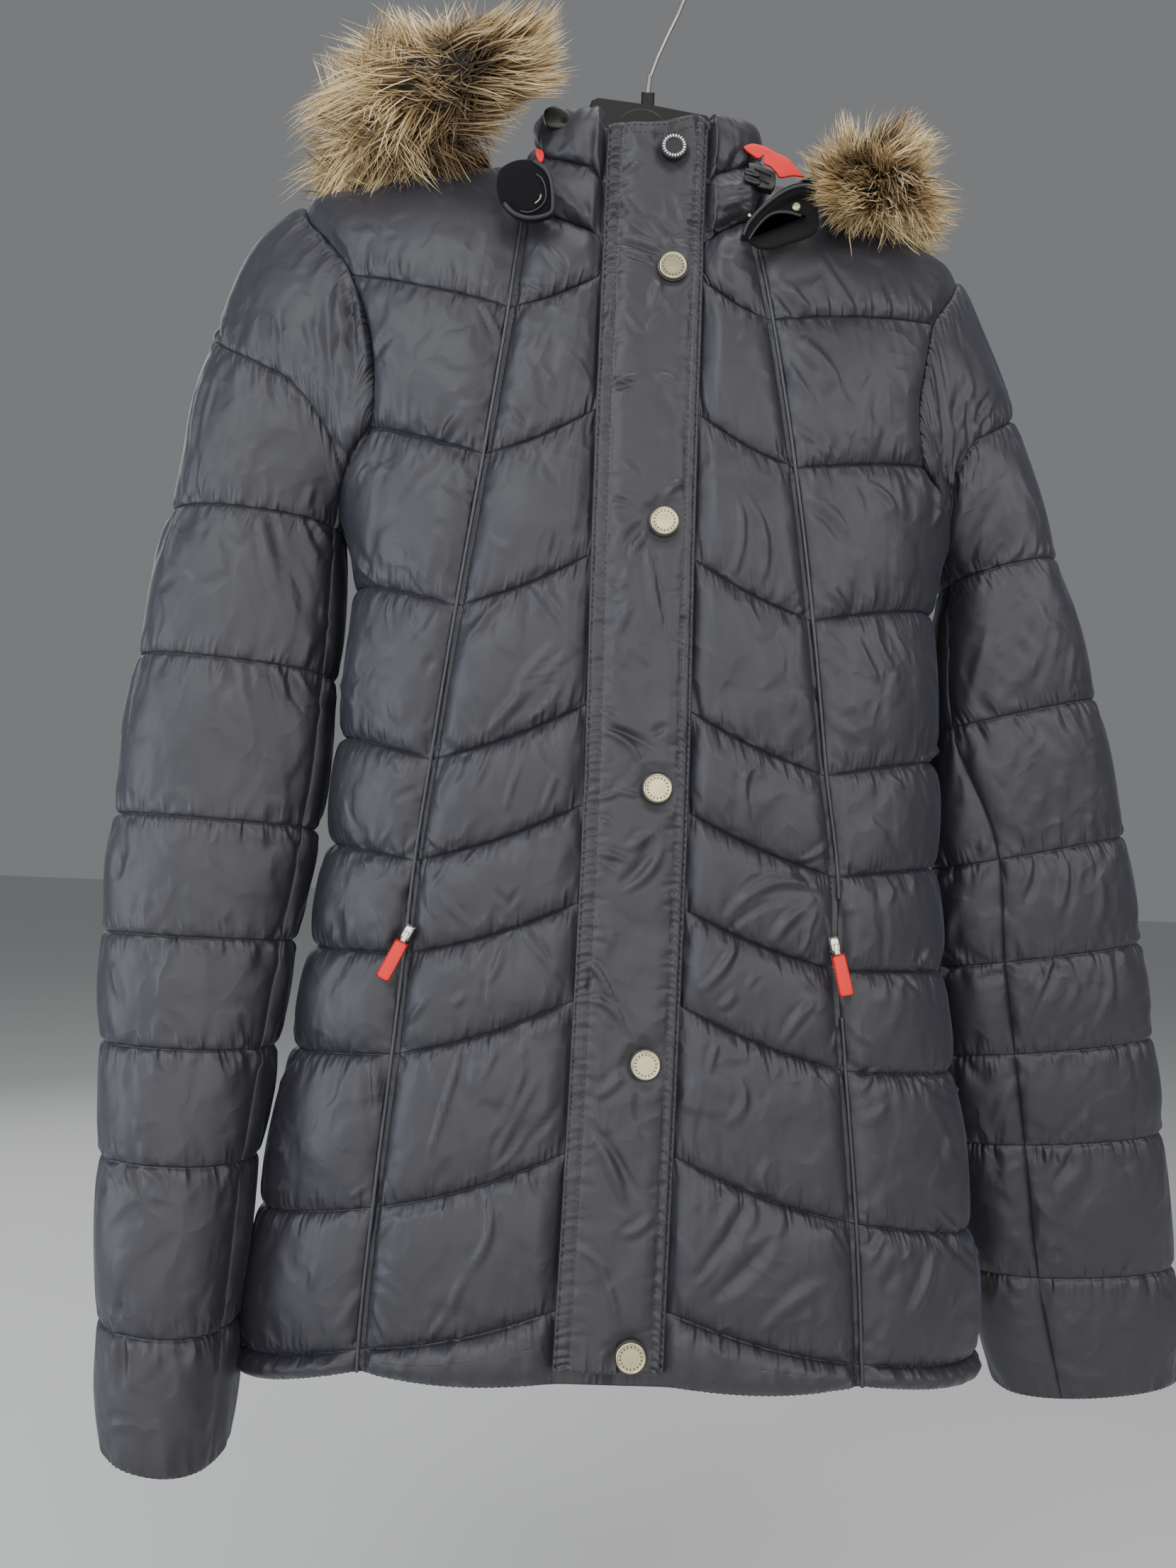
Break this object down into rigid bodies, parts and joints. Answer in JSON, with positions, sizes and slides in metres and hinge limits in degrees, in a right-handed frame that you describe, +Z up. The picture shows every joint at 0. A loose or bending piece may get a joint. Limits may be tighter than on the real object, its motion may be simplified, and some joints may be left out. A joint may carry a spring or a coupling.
{
  "type": "quilted jacket on a hanger",
  "caption": "Women's quilted padded jacket with a folded fur-trimmed hood, snap front and two zip pockets, hanging on a plastic hanger.",
  "frame": {"origin": "the inner top of the hanger's hook, where it bears on a rod; the hook, hanger, shoulder ridges and side seams lie at y = 0", "axes": "+Z up, -Y out of the jacket's front, +X towards the wearer's left side"},
  "size_m": [0.6717, 0.2933, 0.9158],
  "materials": {
    "nylon": "satin",
    "lining": "satin",
    "fur": "matt pile",
    "velvet": "matt pile",
    "metal": "satin, warm nickel tone",
    "plastic": "semi-gloss",
    "rubber": "matt",
    "rubber_black": "matt",
    "steel": "polished"
  },
  "bodies": {
    "jacket": {"back": "nylon", "badge_front": "rubber_black", "badge_sleeve": "rubber_black", "clip_left": "plastic", "clip_right": "plastic", "collar": "nylon", "eyelet": "metal", "flap": "nylon", "front_centre_left": "nylon", "front_centre_right": "nylon", "front_side_left": "nylon", "front_side_right": "nylon", "hanger": "plastic", "hanger_disc": "plastic", "hood_fur": "fur", "hood_lining": "lining", "hood_shell": "nylon", "hood_tab_left": "velvet", "hood_tab_right": "velvet", "hook": "steel", "piping_left": "nylon", "piping_right": "nylon", "sleeve_top_left": "nylon", "sleeve_top_right": "nylon", "sleeve_under_left": "nylon", "sleeve_under_right": "nylon", "slider_left": "metal", "slider_right": "metal", "snap_1": "metal", "snap_2": "metal", "snap_3": "metal", "snap_4": "metal", "snap_5": "metal"},
    "pull_tab_left": {"pull_link_left": "metal", "pull_left": "rubber"},
    "pull_tab_right": {"pull_link_right": "metal", "pull_right": "rubber"}
  },
  "joints": [
    {"name": "pull_tab_left_hinge", "type": "hinge", "parent": "jacket", "child": "pull_tab_left", "pos_m": [-0.1187, -0.07625, -0.631], "axis": [-0.8988, 0, 0.4384], "range_deg": [0, 150]},
    {"name": "pull_tab_right_hinge", "type": "hinge", "parent": "jacket", "child": "pull_tab_right", "pos_m": [0.1128, -0.07838, -0.6285], "axis": [-0.9703, 0, -0.2419], "range_deg": [0, 150]}
  ]
}
